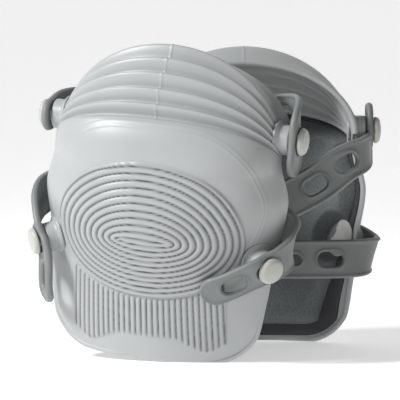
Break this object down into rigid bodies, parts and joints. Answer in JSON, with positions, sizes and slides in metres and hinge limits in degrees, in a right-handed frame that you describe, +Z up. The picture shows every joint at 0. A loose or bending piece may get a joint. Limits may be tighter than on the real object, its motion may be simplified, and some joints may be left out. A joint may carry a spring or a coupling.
{
  "type": "knee pads",
  "caption": "Pair of moulded rubber knee pads with ribbed kneecaps, a pleated flexing hood, a foam-lined cup, button studs and slotted rubber straps.",
  "frame": {"origin": "middle of the pair's footprint, on the ground", "axes": "+X to the viewer's right across the pair, +Y from the front pad to the rear pad, +Z up"},
  "size_m": [0.2636, 0.2026, 0.2324],
  "materials": {
    "shell_rubber": "light grey moulded rubber, satin",
    "strap_rubber": "mid grey moulded rubber, matte",
    "liner_rubber": "dark grey thin rubber sheet, matte",
    "cushion_fabric": "grey fabric face over soft foam",
    "stud_plastic": "pale grey moulded plastic",
    "plate_plastic": "pale grey moulded plastic"
  },
  "bodies": {
    "rear_pad": {"rear_shell": "shell_rubber", "rear_bellows": "shell_rubber", "rear_liner": "liner_rubber", "rear_cushion": "cushion_fabric", "rear_lower_studs": "stud_plastic", "rear_lower_backings": "plate_plastic"},
    "rear_hood": {"rear_cuff": "shell_rubber", "rear_upper_studs": "stud_plastic", "rear_upper_backings": "plate_plastic"},
    "rear_upper_loop": {"rear_upper_strap": "strap_rubber"},
    "rear_lower_loop": {"rear_lower_strap": "strap_rubber"},
    "front_pad": {"front_shell": "shell_rubber", "front_bellows": "shell_rubber", "front_liner": "liner_rubber", "front_cushion": "cushion_fabric", "front_lower_studs": "stud_plastic", "front_lower_backings": "plate_plastic"},
    "front_hood": {"front_cuff": "shell_rubber", "front_upper_studs": "stud_plastic", "front_upper_backings": "plate_plastic"},
    "front_upper_loop": {"front_upper_strap": "strap_rubber"},
    "front_lower_loop": {"front_lower_strap": "strap_rubber"}
  },
  "joints": [
    {"name": "front_pad_apart", "type": "slide", "parent": "rear_pad", "child": "front_pad", "axis": [0, -1, 0], "range_m": [0, 0.15]},
    {"name": "rear_hood_fold", "type": "hinge", "parent": "rear_pad", "child": "rear_hood", "pos_m": [0.02844, 0.04151, 0.14453], "axis": [-1, 0, 0], "range_deg": [-5, 14], "stiffness_Nm_per_rad": 2, "deforming": ["rear_bellows"]},
    {"name": "rear_upper_strap_swing", "type": "hinge", "parent": "rear_hood", "child": "rear_upper_loop", "pos_m": [0.02844, 0.04293, 0.16348], "axis": [-1, 0, 0], "range_deg": [-5, 15]},
    {"name": "rear_lower_strap_swing", "type": "hinge", "parent": "rear_pad", "child": "rear_lower_loop", "pos_m": [0.02844, 0.07859, 0.07665], "axis": [-1, 0, 0], "range_deg": [-5, 5]},
    {"name": "front_hood_fold", "type": "hinge", "parent": "front_pad", "child": "front_hood", "pos_m": [-0.02426, -0.03849, 0.15241], "axis": [0.9437, -0.3176, -0.0927], "range_deg": [-5, 14], "stiffness_Nm_per_rad": 2, "deforming": ["front_bellows"]},
    {"name": "front_upper_strap_swing", "type": "hinge", "parent": "front_hood", "child": "front_upper_loop", "pos_m": [-0.02419, -0.04363, 0.17071], "axis": [0.9437, -0.3176, -0.0927], "range_deg": [-12, 12]},
    {"name": "front_lower_strap_swing", "type": "hinge", "parent": "front_pad", "child": "front_lower_loop", "pos_m": [-0.03842, -0.0592, 0.07924], "axis": [0.9437, -0.3176, -0.0927], "range_deg": [-5, 2]}
  ]
}
